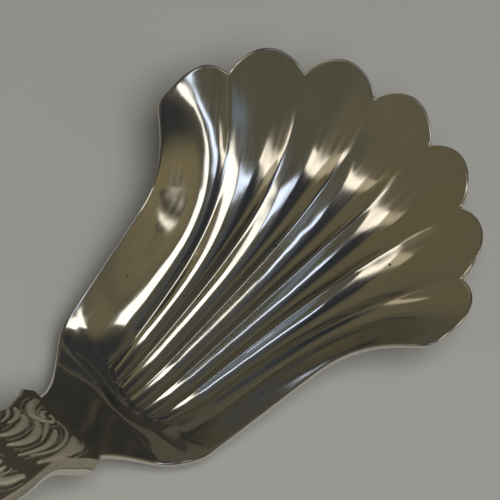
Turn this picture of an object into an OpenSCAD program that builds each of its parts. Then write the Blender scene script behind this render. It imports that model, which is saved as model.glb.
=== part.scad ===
// Caddy spoon: a fluted shell bowl on a filled handle with scroll ornament.
// It lies as on a table, the bowl on its heel and the handle on its end.
// Stations run along X towards the bowl's front, and 0 is the heel, where the flutes begin.
// Heights in the sections below are above the ridges at the heel. All lengths are millimetres.

/* [Shell bowl in plan] */
// Number of flutes
flutes = 7; // [5:2:9]
// Width across the outermost ridges where they start at the heel
heel_ridges_w = 10.5; // [8:0.1:13]
// Outward run of the outermost ridges, per millimetre of length
ridge_fan = 0.165; // [0.1:0.005:0.25]
// Bow of the heel line, per square millimetre of half width
heel_bow = 0.045; // [0.01:0.005:0.08]
// Distance from the heel to the centre of the front rim
rim_centre = 20; // [17:0.1:24]
// Radius of the front rim at the notches
rim_radius = 23.4; // [21:0.1:26]
// Angle between the outermost notches
notch_spread = 111.5; // [100:0.5:118]
// How far the lobes stand out past the notches
lobe_out = 1.9; // [0.5:0.1:3]
// Angle from the middle at which the side crest meets the rim
crest_angle = 63; // [60:0.5:66]
// Distance of that point from the centre of the front rim
crest_radius = 25.25; // [24:0.05:27]
// Angle from the middle to the end of the side brim
wing_angle = 72.5; // [69:0.5:76]
// Distance of that point from the centre of the front rim
wing_radius = 24.2; // [23:0.1:26]
// Roundness added to the corner of the rim between these two points
wing_round = 0.35; // [0:0.05:1.2]
// Half width of the bowl at its brim, level with the heel
brim_half = 12.2; // [11:0.1:13.5]
// Outward run of the side brim, per millimetre of length
brim_fan = 0.19; // [0.1:0.01:0.3]
// Station at which the side brim starts to flare out
wing_start = 13.5; // [12:0.5:16]
// Half width that the flare has added 10 mm past that station
wing_flare = 4.8; // [3:0.1:6]
// How late the flare comes
wing_power = 2.6; // [2:0.1:3.2]
// Rounding where the flare meets the end of the side brim
wing_soft = 0.75; // [0.3:0.05:1]

/* [Shell bowl in height] */
// Thickness of the bowl's sheet
sheet = 0.8; // [0.6:0.05:1.2]
// Straight rise of the ridges from the heel to the notches, before the floor sags
ridge_rise = 9.3; // [7:0.1:12]
// Further rise by their upward curl at the front
ridge_curl = 5.9; // [4:0.1:8]
// Sag of the bowl's floor in front of the heel
heel_sag = 1.1; // [0.6:0.05:1.6]
// Depth of the flutes at the heel
flute_heel = 0.5; // [0.2:0.05:0.8]
// Depth of the flutes in the middle of the bowl
flute_mid = 1; // [0.5:0.05:1.3]
// Lift of the lobes at the rim over the line of the ridges
lobe_lift = 0.4; // [0:0.05:0.8]
// Height of the brim beside the heel
brim_height = 4.15; // [3.5:0.05:6]
// Rise of the brim, per millimetre of length
brim_rise = 0.35; // [0.25:0.01:0.4]
// Height at which the brim levels out at the wings
wing_height = 12.85; // [11:0.05:15]
// How late the side walls turn up between the last ridge and the brim
wall_power = 1.5; // [1.3:0.1:2]
// Height of the brim's own surface in the middle, behind the heel
dish_height = 1.5; // [0.8:0.1:2.2]
// Rise of that surface, per millimetre of length
dish_rise = 0.2; // [0.1:0.01:0.3]
// Length of the end wall between the heel and the brim
end_wall = 2.9; // [2:0.1:4]
// Height under the heel that is drawn down to a flat, so that the bowl stands without rocking
stand_height = 0.3; // [0.2:0.05:0.4]

/* [Neck] */
// Half width of the neck where it enters the handle
neck_half = 5.2; // [4.6:0.1:5.6]
// Thickness of the neck
neck_thick = 1; // [0.8:0.05:1.3]
// Distance from the heel back to the mouth of the handle
neck_length = 11.3; // [10:0.1:13]
// Length over which the bowl's sides run in to the neck
heel_taper = 11.5; // [9.5:0.1:13]
// Half width of the tongue at its end inside the handle
tongue_half = 3.2; // [2.5:0.1:3.6]
// Length of the tongue
tongue_length = 4; // [3:0.1:5]
// Height of the handle's seam at the mouth, before the arch draws it down
neck_height = 8.85; // [7:0.05:10]
// Rise of the neck towards the handle, per millimetre of length
neck_slope = 0.89; // [0.6:0.01:1.1]

/* [Handle] */
// Length of the handle from its mouth to its end, in plan
handle_length = 51.5; // [45:0.5:60]
// Height of the seam at the handle's end
end_height = 0.82; // [0.5:0.01:1.5]
// Fall of the handle towards its end, per millimetre of length
handle_slope = 0.38; // [0.3:0.01:0.45]
// Softness of the arch between neck and handle
arch_soft = 3; // [2:0.1:5]
// Thickness of the stampings' metal
wall = 0.5; // [0.35:0.05:0.6]
// Height of the front stamping's edge over the seam
edge_up = 1.3; // [1.25:0.05:1.6]
// Crown of the front stamping over its edges
front_crown = 0.45; // [0.2:0.05:0.8]
// Depth of the back stamping's edge under the seam
edge_down = 1.3; // [1.25:0.05:1.6]
// Crown of the back stamping under its edges
back_crown = 1; // [0.6:0.05:1.4]
// Rounding of the stampings' edges
edge_round = 0.35; // [0.2:0.05:0.45]
// Half width of the stem
stem_half = 4.6; // [4.4:0.1:5.4]
// Length over which the mouth runs in to the stem, from the spurs back
shoulder_length = 4; // [3:0.1:5]
// Distance of the shoulder's spurs from the mouth
spur_back = 0.9; // [0.6:0.05:1.4]
// Reach of the spurs past the shoulder
spur_out = 0.6; // [0.3:0.05:1]
// Half length of a spur's foot
spur_foot = 1; // [0.8:0.1:1.6]
// Half width added by the scrolls along the stem
scroll_out = 0.7; // [0:0.1:1.2]
// Length of one scroll along the stem
scroll_length = 10; // [8:0.5:14]
// Half width of the terminal
terminal_half = 8.4; // [7:0.1:10]
// Distance of the terminal's widest place from the handle's end
terminal_back = 8.5; // [7:0.1:11]
// Length over which the terminal widens
terminal_flare = 15; // [12:0.5:18]

/* [Relief of the front stamping] */
// Height of the leaf lobes
leaf_height = 0.35; // [0:0.05:0.6]
// Distance from lobe to lobe
leaf_pitch = 3.9; // [3:0.1:6]
// Backward sweep of the lobes from the middle to the edge
leaf_sweep = 3; // [0:0.1:5]
// Height of the midrib
rib_height = 0.4; // [0:0.05:0.7]
// Half width of the midrib
rib_half = 1; // [0.6:0.1:1.6]
// Length over which crown and relief rise from the plain lip at the mouth
lip_length = 2; // [1:0.1:4]

/* [Joints] */
// Gap that solder or filler takes up between two pieces
fit = 0.1; // [0.06:0.01:0.15]
// Thickness of the solder line in the handle's seam
seam_solder_t = 0.3; // [0.2:0.05:0.5]
// Depth of the solder inside the mouth, over and under the neck
mouth_solder = 1.6; // [1:0.1:2.2]
// Length of its fillet on the neck, outside the mouth
neck_fillet = 0.6; // [0.3:0.05:0.9]
// Half width of the tang at the tongue
tang_half = 2.4; // [1.8:0.1:3]
// Half width of the tang at its tip
tang_tip_half = 1.2; // [0.8:0.1:2]
// Thickness of the tang
tang_thick = 0.7; // [0.5:0.05:0.8]
// Length of the tang
tang_length = 26; // [15:0.5:32]

/* [Hidden] */

silver = "#b9b6ab";
solder_tone = "#a5a196";
pitch_tone = "#3a2c20";

// How sharply ridges flare and curl at the front
flare_power = 4;
curl_power = 5;
lobe_power = 0.8;
// Share of the bowl's length over which its floor sags
sag_run = 0.16;
// Width of the ridges' rounded tops, as a share of a flute
ridge_soft = 0.1;
// Softness of the bends in the brim's surface
brim_soft = 0.5;
// Change of heights from the middle flute outwards, per flute squared
heel_lift = 0.16;
rise_loss = 0.4;
curl_gain = 0.14;
// How strongly the underside is drawn down to the flat under the heel
stand_draw = 1.2;

// Facets: steps across a flute and the brim, and rows along the bowl, heel and handle
flute_steps = 6;
brim_steps = 3;
bowl_rows = 24;
heel_rows = 13;
tongue_rows = 4;
handle_step = 1.3;
crown_steps = 10;
tang_rows = 12;
terminal_rows = 7;
tiny = 0.05;

half = flutes / 2;
last_ridge = half - 1;
ridge_step = heel_ridges_w / (flutes - 2);
fan_step = ridge_fan / last_ridge;
notch_step = notch_spread / (flutes - 2);

mouth_x = -neck_length;
mouth_half = neck_half + fit + wall;
tongue_x = mouth_x - tongue_length;
end_x = mouth_x - handle_length;
spur_x = mouth_x - spur_back;
neck_up = neck_thick / 2;
// Station along the brim that is level with the heel line at the sides
side_heel_x = 1.5;

function ramp(t) = let (c = min(max(t, 0), 1)) c * c * (3 - 2 * c);
function mix(a, b, t) = a + (b - a) * t;
function soft_max(a, b, r) = (a + b) / 2 + sqrt(pow((a - b) / 2, 2) + r * r);
function soft_min(a, b, r) = (a + b) / 2 - sqrt(pow((a - b) / 2, 2) + r * r);

// The seam of the handle runs up the neck, over the arch and down to the end
function seam_z(x) = soft_min(
    neck_height + neck_slope * (mouth_x - x),
    end_height + handle_slope * (x - end_x),
    arch_soft);
function seam_slope(x) = (seam_z(x + tiny) - seam_z(x - tiny)) / (2 * tiny);
function steep(x) = sqrt(1 + pow(seam_slope(x), 2));
// A point at station x, y from the middle and h from the seam, square to it
function on_seam(x, y, h) = [
    x - h * seam_slope(x) / steep(x),
    y,
    seam_z(x) + h / steep(x)];

// Bowl in plan: w counts flutes from the middle, so ridges lie at halves
function swell(w) = abs(cos(180 * (w - half + 0.5)));
function on_rim(r, a) = [rim_centre + r * cos(a), r * sin(a)];
function front_end(w) = on_rim(rim_radius + lobe_out * pow(swell(w), lobe_power), notch_step * w);
wing_end = on_rim(wing_radius, wing_angle);
function heel_x(w) = heel_bow * pow(w * ridge_step, 2);
// Past the last ridge, t runs over the side wall from 0 to 1 at the brim
function wall_t(w) = max(w - last_ridge, 0) / 2;

function neck_y(x) = mix(neck_half, tongue_half, ramp((mouth_x - x) / tongue_length));
function brim_y(x) = soft_min(
    mix(neck_y(x), brim_half + brim_fan * x, ramp((x - mouth_x) / heel_taper))
        + wing_flare * pow(max(x - wing_start, 0) / 10, wing_power),
    wing_end[1], wing_soft);

// Heights: the brim's surface, and the fluted scoop that is sunk into it
function neck_top(x) = seam_z(x) + neck_up * steep(x);
function brim_z(x) = soft_max(
    soft_min(brim_height + brim_rise * x, wing_height, brim_soft), neck_top(x), brim_soft);
function dish_z(x) = soft_max(dish_height + dish_rise * x, neck_top(x), brim_soft);
function lid_z(x, y) = mix(dish_z(x), brim_z(x), pow(y / brim_y(x), 2));
function ridge_z(w, v) =
    heel_lift * w * w
    + (ridge_rise - rise_loss * w * w) * v
    + (ridge_curl + curl_gain * w * w) * pow(v, curl_power)
    - heel_sag * (1 - pow(max(1 - v / sag_run, 0), 2));
function flute_depth(v) =
    mix(mix(flute_heel, flute_mid, ramp(2 * v)), -lobe_lift, pow(v, 6));
// Hollow across a flute: an arch between two ridges, or past the last one a smooth run-out
function arch(w) = 1 - pow(2 * (w - round(w)), 2);
function hollow(w) = w <= last_ridge
    ? (sqrt(pow(arch(w), 2) + pow(ridge_soft, 2)) - ridge_soft)
        / (sqrt(1 + pow(ridge_soft, 2)) - ridge_soft)
    : let (t = wall_t(w)) 5.4 * t * pow(1 - t, 2);

// Front part of the bowl: v runs from 0 at the heel to 1 at the rim
function flute_plan(w, v) =
    let (e = front_end(w), x = mix(heel_x(w), e[0], v))
    [x, w * (ridge_step + fan_step * x)
        + (e[1] - w * (ridge_step + fan_step * e[0])) * pow(v, flare_power)];
function brim_plan(v) = let (x = mix(side_heel_x, wing_end[0], v)) [x, brim_y(x)];
// Rim of a side wall: from the last notch over the crest, then round the corner of the wing
function side_rim(t) =
    let (a = min(2 * t, 1), f = max(2 * t - 1, 0))
    mix(
        on_rim(
            mix(rim_radius, crest_radius, pow(sin(90 * a), lobe_power)),
            mix(notch_step * last_ridge, crest_angle, a)),
        brim_plan(1), f)
    + wing_round * 4 * f * (1 - f) * [cos(wing_angle), sin(wing_angle)];
// Rows of a side wall are straight at the heel and bent to the rim at the front
function wall_row(t, v) = mix(flute_plan(last_ridge, v), brim_plan(v), t);
function plan(w, v) = w <= last_ridge
    ? flute_plan(w, v)
    : let (t = wall_t(w)) wall_row(t, v) + pow(v, 6) * (side_rim(t) - wall_row(t, 1));
function front_point(w, v) =
    let (
        wi = min(w, last_ridge),
        p = plan(w, v),
        vz = v * front_end(wi)[0] / on_rim(rim_radius, notch_step * wi)[0],
        scoop = ridge_z(wi, vz) - flute_depth(v) * hollow(w))
    [p[0], p[1], mix(scoop, brim_z(p[0]), pow(wall_t(w), wall_power))];

// Rear part: end wall, heel, neck and tongue; m runs from 0 at the heel to 1
function rear_point(w, x_side) =
    let (
        heel = plan(w, 0),
        m = (side_heel_x - x_side) / (side_heel_x - tongue_x),
        x = mix(heel[0], tongue_x, m),
        y = heel[1] * brim_y(x_side) / brim_plan(0)[1],
        away = (heel[0] - x) / (end_wall + 0.3 * heel[0]),
        sunk = 1 - pow(min(max(away, 0), 1), 2),
        scoop = mix(ridge_z(min(w, last_ridge), 0), brim_z(x), pow(wall_t(w), wall_power)))
    [x, y, mix(lid_z(x, y), scoop, sunk)];

// Stations of the rear rows: the tongue, then the neck and heel
tongue_stations = [for (k = [0:tongue_rows - 1]) mix(tongue_x, mouth_x, k / tongue_rows)];
rear_stations = concat(
    tongue_stations,
    [for (k = [0:heel_rows - 1]) mix(mouth_x, side_heel_x, k / heel_rows)]);
columns = concat(
    [for (k = [brim_steps:-1:1]) -half - k / brim_steps],
    [for (k = [-flutes * flute_steps / 2:flutes * flute_steps / 2]) k / flute_steps],
    [for (k = [1:brim_steps]) half + k / brim_steps]);
function mirrored(p, w) = [p[0], w < 0 ? -p[1] : p[1], p[2]];
bowl_top = concat(
    [for (x = rear_stations) [for (w = columns) mirrored(rear_point(abs(w), x), w)]],
    [for (k = [0:bowl_rows]) [for (w = columns) mirrored(front_point(abs(w), k / bowl_rows), w)]]);

// Underside: the sheet's thickness measured square to the surface, flat where the bowl stands
bowl_last = len(bowl_top) - 1;
column_last = len(columns) - 1;
function slant(i, j) =
    let (
        a = bowl_top[min(i + 1, bowl_last)][j] - bowl_top[max(i - 1, 0)][j],
        b = bowl_top[i][min(j + 1, column_last)] - bowl_top[i][max(j - 1, 0)],
        n = cross(a, b))
    min(norm(n) / max(abs(n[2]), 0.001), 1.8);
function sheet_at(x) = mix(neck_thick, sheet, ramp((x - mouth_x) / neck_length));
bowl_skin = [for (i = [0:bowl_last]) [for (j = [0:column_last])
    bowl_top[i][j] - [0, 0, sheet_at(bowl_top[i][j][0]) * slant(i, j)]]];
stand_z = lowest(bowl_skin);
function standing(p) =
    let (h = p[2] - stand_z)
    [p[0], p[1], stand_z + max(h - stand_draw * max(stand_height - h, 0), 0)];
bowl_under = [for (r = bowl_skin) [for (p = r) standing(p)]];

// Handle in plan
function handle_y(x) =
    let (
        from_end = x - end_x,
        wave = 0.5 - 0.5 * cos(360 * (spur_x - shoulder_length - x) / scroll_length),
        shoulder = ramp(1 - (spur_x - x) / shoulder_length),
        stem = mix(stem_half + scroll_out * wave, mouth_half, shoulder),
        spur = spur_out * pow(max(0, 1 - abs(x - spur_x) / spur_foot), 1.2),
        full = mix(stem, terminal_half, ramp(1 - (from_end - terminal_back) / terminal_flare)),
        tip = min(from_end / terminal_back, 1))
    full * sqrt(max(1 - pow(1 - tip, 2), 0)) + spur;

// Stations of the handle, from just inside its end to its mouth
spur_stations = [for (k = [0:4]) spur_x - spur_back + k * spur_back / 2];
stem_count = ceil((spur_stations[0] - end_x - terminal_back) / handle_step);
handle_stations = concat(
    [for (k = [1:terminal_rows]) end_x + terminal_back * (1 - cos(90 * k / terminal_rows))],
    [for (k = [1:stem_count - 1]) mix(end_x + terminal_back, spur_stations[0], k / stem_count)],
    spur_stations);

// Relief: a midrib with lobes swept back on both sides, lower towards the edges
function lip(x) = ramp((mouth_x - x) / lip_length);
function relief(x, u) =
    let (lobes = 0.5 + 0.5 * cos(360 * (mouth_x - x - leaf_sweep * abs(u)) / leaf_pitch))
    lip(x)
    * (leaf_height * lobes * (1 - pow(u, 4)) + rib_height * exp(-pow(u * handle_y(x) / rib_half, 2)));

// Half profiles of a stamping: the edge, its rounding, and the crown between.
// inset shrinks the profile, as for the metal's inner face or the filler.
crown_columns = [for (k = [0:crown_steps]) 2 * k / crown_steps - 1];
function crown_h(x, u, up, crown, inset) = up + crown * lip(x) * (1 - u * u) - inset;
function profile(x, low, up, crown, inset, carve) =
    let (
        y = max(handle_y(x) - inset, tiny),
        r = min(max(edge_round - inset, tiny), y / 2))
    concat(
        [[-y, low], [-y, max(up - inset - r, low + tiny)]],
        [for (u = crown_columns)
            [(y - r) * u, crown_h(x, u, up, crown, inset) + (carve ? relief(x, u) : 0)]],
        [[y, max(up - inset - r, low + tiny)], [y, low]]);
function flip(p, side) = [for (q = p) [q[0], side * q[1]]];
function along(x, p) = [for (q = p) on_seam(x, q[0], q[1])];

// A stamping is closed at the handle's end and open at its mouth
function end_row(x, half_w, low) = along(x, concat(
    [[-half_w, low], [-half_w * 0.99, low]],
    [for (u = crown_columns) [half_w * 0.98 * u, low]],
    [[half_w * 0.99, low], [half_w, low]]));
function stamping(up, crown, side, inset, carve) =
    let (
        rim = seam_solder_t / 2,
        rows = [for (x = handle_stations)
            let (s = max(x, handle_stations[0] + inset))
            along(s, flip(profile(s, rim, up, crown, inset, carve), side))],
        tail = end_row(end_x + inset, max(handle_y(handle_stations[0]) - inset, tiny) * 0.8, side * rim))
    concat([tail], rows);

// Solid between two grids of points with the same rows and columns
module between(upper, lower) {
    rows = len(upper);
    cols = len(upper[0]);
    n = rows * cols;
    quads = [for (i = [0:rows - 2]) for (j = [0:cols - 2]) i * cols + j];
    polyhedron(
        points = concat([for (r = upper) each r], [for (r = lower) each r]),
        faces = concat(
            [for (a = quads) each [[a, a + 1, a + cols + 1], [a, a + cols + 1, a + cols]]],
            [for (a = quads) each [[n + a, n + a + cols + 1, n + a + 1],
                [n + a, n + a + cols, n + a + cols + 1]]],
            [for (i = [0:rows - 2]) let (a = i * cols, c = a + cols)
                each [[a, c, n + c], [a, n + c, n + a]]],
            [for (i = [0:rows - 2]) let (a = i * cols + cols - 1, c = a + cols)
                each [[a, n + c, c], [a, n + a, n + c]]],
            [for (j = [0:cols - 2]) each [[j + 1, j, n + j], [j + 1, n + j, n + j + 1]]],
            [for (j = [0:cols - 2]) let (a = n - cols + j)
                each [[a, a + 1, n + a + 1], [a, n + a + 1, n + a]]]),
        convexity = 6);
}

front_outer = stamping(edge_up, front_crown, 1, 0, true);
front_inner = stamping(edge_up, front_crown, 1, wall, false);
back_outer = stamping(edge_down, back_crown, -1, 0, false);
back_inner = stamping(edge_down, back_crown, -1, wall, false);

// Everything stands on the lowest point, centred along its length
function lowest(grid) = min([for (r = grid) for (p = r) p[2]]);
table_z = min(lowest(bowl_under), lowest(back_outer));
tip_x = rim_centre + rim_radius + lobe_out;
module placed() {
    translate([-(tip_x + end_x) / 2, 0, -table_z]) children();
}

module bowl() {
    color(silver) placed() between(bowl_top, bowl_under);
}

module handle_front() {
    color(silver) placed() between(front_outer, front_inner);
}

module handle_back() {
    color(silver) placed() between(back_inner, back_outer);
}

// The tang is a tapered bar that follows the seam, soldered under the tongue
tang_h = -neck_up - fit;
tang_front = mouth_x - mouth_solder - fit;
tang_tip = tang_front - tang_length;
function tang_y(x) = mix(tang_tip_half, tang_half, (x - tang_tip) / tang_length);
function tang_face(h) = [for (k = [0:tang_rows])
    let (x = mix(tang_tip, tang_front, k / tang_rows))
    [for (s = [-1, 1]) on_seam(x, s * tang_y(x), h)]];
module tang() {
    color(silver) placed() between(tang_face(tang_h), tang_face(tang_h - tang_thick));
}

// The filler takes up the room between the stampings behind the tongue, with a channel for the tang
filler_inset = wall + fit;
filler_front = tongue_x - neck_thick;
filler_stations = concat(
    [for (x = handle_stations)
        if (x > handle_stations[0] + filler_inset && x < filler_front - tiny) x],
    [filler_front]);
function filler_y(x) = handle_y(x) - filler_inset;
function channel_y(x) = max(tang_y(x), tang_tip_half) + fit;
function filler_columns(x) =
    let (
        c = channel_y(x),
        y = filler_y(x),
        side = [c / 2, c, c + tiny, (c + y) / 2, y])
    concat([for (k = [len(side) - 1:-1:0]) -side[k]], [0], side);
function filler_up(x, y) = crown_h(x, y / filler_y(x), edge_up, front_crown, filler_inset);
function filler_down(x, y) =
    x > tang_tip - 2 * handle_step && abs(y) < channel_y(x) + tiny / 2
        ? tang_h + fit
        : -crown_h(x, y / filler_y(x), edge_down, back_crown, filler_inset);
module handle_filler() {
    color(pitch_tone) placed() between(
        [for (x = filler_stations) [for (y = filler_columns(x)) on_seam(x, y, filler_up(x, y))]],
        [for (x = filler_stations) [for (y = filler_columns(x)) on_seam(x, y, filler_down(x, y))]]);
}

// Solder runs round the seam from one side of the mouth to the other
seam_h = seam_solder_t / 2 - tiny / 2;
seam_tail = [end_x, max(handle_y(handle_stations[0]), tiny) * 0.8];
function seam_row(x, y, h, side) =
    [on_seam(x, side * y, h), on_seam(max(x, end_x + wall), side * max(y - wall, tiny), h)];
function seam_grid(h) = concat(
    [for (k = [len(handle_stations) - 1:-1:0])
        seam_row(handle_stations[k], handle_y(handle_stations[k]), h, 1)],
    [seam_row(seam_tail[0], seam_tail[1], h, 1), seam_row(seam_tail[0], seam_tail[1], h, -1)],
    [for (x = handle_stations) seam_row(x, handle_y(x), h, -1)]);
module seam_solder() {
    color(solder_tone) placed() between(seam_grid(seam_h), seam_grid(-seam_h));
}

// Solder fills the mouth over and under the neck and runs out on it in a fillet.
// Each row has its station and the share of the mouth's height that it fills.
solder_rows = [[mouth_x - mouth_solder, 1], [mouth_x, 1], [mouth_x + neck_fillet, 0]];
function solder_face(h_in, h_out) = [for (r = solder_rows) [for (u = [-1, 1])
    on_seam(r[0], u * neck_half, mix(h_out, h_in, r[1]))]];
module mouth_fill(side, up) {
    low = neck_up + fit;
    near = solder_face(side * low, side * low);
    far = solder_face(side * (up - wall - tiny), side * (low + tiny));
    if (side > 0) between(far, near);
    else between(near, far);
}
module solder_over() {
    color(solder_tone) placed() mouth_fill(1, edge_up);
}
module solder_under() {
    color(solder_tone) placed() mouth_fill(-1, edge_down);
}

bowl();
handle_front();
handle_back();
handle_filler();
tang();
seam_solder();
solder_over();
solder_under();
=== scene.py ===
# %% [markdown]
# # A silver caddy spoon
# A caddy spoon measures tea leaves out of a caddy. This one has a bowl like a scallop shell and a
# short filled handle with scrolls struck into its front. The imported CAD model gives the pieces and
# their places, in metres, and this file gives the finer shapes, the metal and the light.

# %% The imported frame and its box
import math
from types import SimpleNamespace

import bmesh
import bpy
import numpy as np
from mathutils import Matrix, Vector


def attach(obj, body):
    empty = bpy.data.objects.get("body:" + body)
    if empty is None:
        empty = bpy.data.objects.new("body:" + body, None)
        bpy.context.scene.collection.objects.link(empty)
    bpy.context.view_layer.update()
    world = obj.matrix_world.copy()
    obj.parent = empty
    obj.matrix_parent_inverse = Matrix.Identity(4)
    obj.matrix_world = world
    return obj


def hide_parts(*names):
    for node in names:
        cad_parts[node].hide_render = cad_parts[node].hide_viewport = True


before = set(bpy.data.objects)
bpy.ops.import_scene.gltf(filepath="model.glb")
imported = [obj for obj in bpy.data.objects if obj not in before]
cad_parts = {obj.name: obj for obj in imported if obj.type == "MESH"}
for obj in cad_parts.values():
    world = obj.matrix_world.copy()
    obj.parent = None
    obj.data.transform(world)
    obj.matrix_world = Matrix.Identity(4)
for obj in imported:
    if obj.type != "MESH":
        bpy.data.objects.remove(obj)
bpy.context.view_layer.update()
print("CAD nodes:", sorted(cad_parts))

# %% [markdown]
# A few helpers serve the whole file. Colours are written as sRGB hex values, as a paint program
# shows them, but shaders count in linear light, so one function converts them. Another adds a
# node with its settings, and gives each input a fixed value or a link.

# %% Colour and node helpers
MM = 0.001


def linear(hex_colour):
    """Undoes the sRGB curve: a straight part near black, and a power above it."""
    parts = [int(hex_colour[i:i + 2], 16) / 255 for i in (1, 3, 5)]
    return [p / 12.92 if p <= 0.04045 else ((p + 0.055) / 1.055) ** 2.4 for p in parts]


def rgba(hex_colour):
    return (*linear(hex_colour), 1)


def add(tree, kind, inputs=None, **settings):
    node = tree.nodes.new(kind)
    for name, value in settings.items():
        setattr(node, name, value)
    for key, value in (inputs or {}).items():
        if isinstance(value, bpy.types.NodeSocket):
            tree.links.new(value, node.inputs[key])
        else:
            node.inputs[key].default_value = value
    return node


print("half grey in linear light:", [round(c, 3) for c in linear("#808080")])

# %% [markdown]
# ## Camera
# The photograph looks down at about 60 degrees, from the handle's end and the spoon's right side,
# through a long lens. The camera is placed by the point that it looks at, the way it looks and its
# distance. Its angle of view follows from the picture's half width and the focal length, both in
# pixels.

# %% Camera
LOOK_AT = Vector((28.98, 2.20, 9.76)) * MM
LOOK_ALONG = Vector((0.3464, 0.3606, -0.8660)).normalized()
CAMERA_DISTANCE = 395.3 * MM
HALF_PICTURE, FOCAL_LENGTH = 250, 3400
NEAREST_SEEN = 0.01

scene = bpy.context.scene
camera = bpy.data.objects.new("camera", bpy.data.cameras.new("camera"))
scene.collection.objects.link(camera)
camera.data.sensor_fit = "AUTO"
camera.data.angle = 2 * math.atan(HALF_PICTURE / FOCAL_LENGTH)
camera.data.clip_start = NEAREST_SEEN
camera.location = LOOK_AT - LOOK_ALONG * CAMERA_DISTANCE
camera.rotation_euler = LOOK_ALONG.to_track_quat("-Z", "Y").to_euler()
scene.camera = camera
scene.view_settings.view_transform = "Standard"
print("camera at", [round(c, 3) for c in camera.location])

# %% [markdown]
# ## Light
# Polished silver has hardly any colour of its own: what the eye sees is the room. The flutes
# carry long white bands, so the room has a cool tube, a pale window and a warm tube, which is two
# lamps here because its far end is dimmer. A soft ceiling light fills the shadows on the floor,
# and is kept out of the metal's reflections. A direction is an azimuth, counted from the
# picture's right, and a height, both in degrees. A lamp's watts follow from the brightness that it
# shows in the metal, so that a longer or wider lamp looks just as bright.

# %% Lamps
PICTURE_RIGHT = LOOK_ALONG.cross(Vector((0, 0, 1))).normalized()
PICTURE_AWAY = Vector((0, 0, 1)).cross(PICTURE_RIGHT)
BOWL_MIDDLE = Vector((0.029, 0, 0.008))
WATTS_FOR_BRIGHTNESS = 4


def towards(azimuth, height):
    a, e = math.radians(azimuth), math.radians(height)
    level = PICTURE_RIGHT * math.cos(a) + PICTURE_AWAY * math.sin(a)
    return level * math.cos(e) + Vector((0, 0, math.sin(e)))


def strip_lamp(name, one_end, other_end, width, brightness, colour):
    """A rectangle that faces the bowl from a metre away, between two directions."""
    a, b = towards(*one_end), towards(*other_end)
    back = (a + b).normalized()
    across = (a - b).normalized()
    data = bpy.data.lights.new(name, "AREA")
    data.shape = "RECTANGLE"
    data.size, data.size_y = 2 * math.tan(a.angle(b) / 2), width
    data.color = linear(colour)
    data.energy = brightness * WATTS_FOR_BRIGHTNESS * data.size * data.size_y
    lamp = bpy.data.objects.new(name, data)
    scene.collection.objects.link(lamp)
    turned = Matrix((across, back.cross(across), back)).transposed().to_4x4()
    lamp.matrix_world = Matrix.Translation(BOWL_MIDDLE + back) @ turned
    lamp.visible_camera = False
    return lamp


strip_lamp("warm_tube_far", (163, 32), (-178, 46), 0.09, 0.30, "#fff0d4")
strip_lamp("warm_tube_near", (-178, 46), (-124, 58), 0.09, 1.1, "#fff6e8")
strip_lamp("cool_tube", (-116, 68), (-52, 56), 0.085, 1.35, "#d2e2ff")
strip_lamp("window", (-30, 35), (-41, 56), 0.23, 1.2, "#fdfbf6")
fill = strip_lamp("ceiling", (-45, 60), (-95, 60), 0.45, 15.3, "#fbfbfa")
fill.visible_glossy = False

# %% [markdown]
# The rest of the room is dim: olive walls, a darker ceiling with a dark side beyond the bowl, and
# a cool glow between the tube and the window. The world is made of soft round zones, each with an
# azimuth, a height, a reach and a colour. A zone compares the ray's direction with its own, and
# mixes in its colour where the two agree.

# %% World
ROOM_TONE = "#504e44"
ROOM_ZONES = (
    (-165, 28, 45, "#615c4c"),
    (155, 20, 38, "#615b47"),
    (-100, 35, 40, "#555447"),
    (-12, 10, 34, "#766e54"),
    (-150, 78, 22, "#4a4d54"),
    (178, 62, 22, "#2d2f33"),
    (-145, 66, 15, "#2d2f34"),
    (32, 46, 40, "#323335"),
    (-65, 40, 14, "#6e7985"),
)
world = bpy.data.worlds.new("room")
scene.world = world
world.use_nodes = True
room = world.node_tree
room.nodes.clear()
direction = add(room, "ShaderNodeTexCoord").outputs["Generated"]
tone = rgba(ROOM_TONE)
for azimuth, height, reach, colour in ROOM_ZONES:
    nearness = add(room, "ShaderNodeVectorMath", {0: direction, 1: towards(azimuth, height)},
                   operation="DOT_PRODUCT").outputs["Value"]
    share = add(room, "ShaderNodeMapRange", {
        "Value": nearness, "From Min": math.cos(math.radians(reach)), "From Max": 1.0},
        interpolation_type="SMOOTHERSTEP").outputs["Result"]
    tone = add(room, "ShaderNodeMix", {0: share, 6: tone, 7: rgba(colour)},
               data_type="RGBA").outputs[2]
light = add(room, "ShaderNodeBackground", {"Color": tone, "Strength": 1.0})
add(room, "ShaderNodeOutputWorld", {"Surface": light.outputs[0]})
print("world zones:", len(ROOM_ZONES))

# %% [markdown]
# The spoon lies on a sheet of pale grey card. A card is a little uneven in tone, and that is all
# that it needs: one large plane with a soft noise in its colour.

# %% Floor
CARD = "#91908c"
CARD_DARK = "#8d8c88"
MOTTLE_SIZE = 30
FLOOR_SIZE = 6
bpy.ops.mesh.primitive_plane_add(size=FLOOR_SIZE)
floor = bpy.context.object
floor.name = "card_floor"
card = bpy.data.materials.new("matt_card")
card.use_nodes = True
nodes = card.node_tree
shader = nodes.nodes["Principled BSDF"]
shader.inputs["Roughness"].default_value = 0.8
shader.inputs["Specular IOR Level"].default_value = 0.2
place = add(nodes, "ShaderNodeTexCoord").outputs["Object"]
mottle = add(nodes, "ShaderNodeTexNoise", {
    "Vector": place, "Scale": 1 / (MOTTLE_SIZE * MM), "Detail": 3.0})
blotch = add(nodes, "ShaderNodeMix", {
    0: mottle.outputs[0], 6: rgba(CARD_DARK), 7: rgba(CARD)}, data_type="RGBA")
nodes.links.new(blotch.outputs[2], shader.inputs["Base Color"])
floor.data.materials.append(card)
print("floor:", floor.name)

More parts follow.
